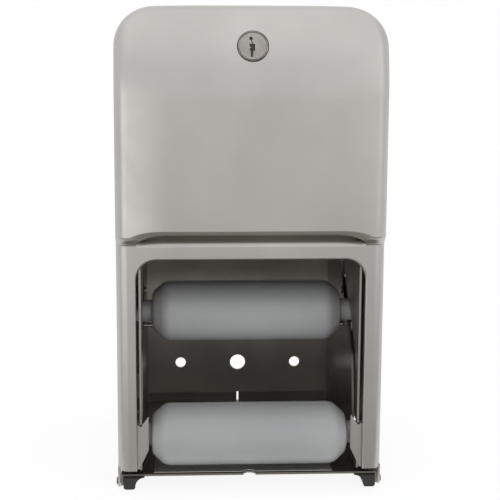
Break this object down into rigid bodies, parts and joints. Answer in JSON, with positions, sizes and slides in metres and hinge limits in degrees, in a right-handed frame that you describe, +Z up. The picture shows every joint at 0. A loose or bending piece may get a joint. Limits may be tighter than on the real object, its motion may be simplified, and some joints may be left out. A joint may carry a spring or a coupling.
{
  "type": "double roll toilet paper dispenser",
  "caption": "Wall-mounted steel toilet paper dispenser: hinged locking hood with finger groove over a framed cabinet, and two moulded spindles that ride down bent guide slots.",
  "frame": {"origin": "middle of the back panel's wall face", "axes": "+Z up, +Y into the wall, so the front looks along -Y and +X is to its right"},
  "size_m": [0.1564, 0.1508, 0.2799],
  "materials": {
    "satin_steel": "satin stainless sheet",
    "mill_steel": "mill finish stainless sheet",
    "bright_steel": "bright fasteners",
    "nickel": "nickel plated lock",
    "white_plastic": "milky white moulded plastic",
    "black_plastic": "black moulded plastic",
    "pale_label": "bare pale plate"
  },
  "bodies": {
    "cabinet": {"back_panel": "mill_steel", "floor_pan": "mill_steel", "top_rail": "mill_steel", "side_plate_left": "mill_steel", "side_plate_right": "mill_steel", "hinge_block_left": "black_plastic", "hinge_block_right": "black_plastic", "label_plate": "pale_label", "hinge_rivet_left": "bright_steel", "block_screw_left": "bright_steel", "latch_pivot_left": "bright_steel", "rail_rivet_left_1": "bright_steel", "rail_rivet_left_2": "bright_steel", "floor_rivet_left_1": "bright_steel", "floor_rivet_left_2": "bright_steel", "back_rivet_left_1": "bright_steel", "back_rivet_left_2": "bright_steel", "back_rivet_left_3": "bright_steel", "hinge_rivet_right": "bright_steel", "block_screw_right": "bright_steel", "latch_pivot_right": "bright_steel", "rail_rivet_right_1": "bright_steel", "rail_rivet_right_2": "bright_steel", "floor_rivet_right_1": "bright_steel", "floor_rivet_right_2": "bright_steel", "back_rivet_right_1": "bright_steel", "back_rivet_right_2": "bright_steel", "back_rivet_right_3": "bright_steel"},
    "door": {"hood": "satin_steel", "retaining_tab_left": "satin_steel", "retaining_tab_right": "satin_steel", "lock_body": "nickel", "lock_nut": "bright_steel"},
    "lock_turning": {"lock_plug": "nickel", "lock_cam": "nickel", "cam_screw": "nickel"},
    "reserve_latch_left": {"latch_left": "mill_steel", "latch_pin_left": "bright_steel"},
    "reserve_latch_right": {"latch_right": "mill_steel", "latch_pin_right": "bright_steel"},
    "upper_roller": {"upper_spindle": "white_plastic"},
    "lower_roller": {"lower_spindle": "white_plastic"}
  },
  "joints": [
    {"name": "door_hinge", "type": "hinge", "parent": "cabinet", "child": "door", "pos_m": [0, -0.136, -0.1364], "axis": [1, 0, 0], "range_deg": [0, 100]},
    {"name": "lock_turn", "type": "hinge", "parent": "door", "child": "lock_turning", "pos_m": [0, -0.1458, 0.1165], "axis": [0, 0.9444, -0.3288], "range_deg": [0, 90]},
    {"name": "latch_left_swing", "type": "hinge", "parent": "cabinet", "child": "reserve_latch_left", "pos_m": [-0.0651, -0.0713, -0.0363], "axis": [1, 0, 0], "range_deg": [0, 60]},
    {"name": "latch_right_swing", "type": "hinge", "parent": "cabinet", "child": "reserve_latch_right", "pos_m": [0.0651, -0.0713, -0.0363], "axis": [1, 0, 0], "range_deg": [0, 60]},
    {"name": "upper_spindle_spin", "type": "hinge", "parent": "cabinet", "child": "upper_roller", "pos_m": [0, -0.095, -0.04373], "axis": [1, 0, 0], "continuous": true},
    {"name": "lower_spindle_spin", "type": "hinge", "parent": "cabinet", "child": "lower_roller", "pos_m": [0, -0.128, -0.1108], "axis": [1, 0, 0], "continuous": true}
  ]
}
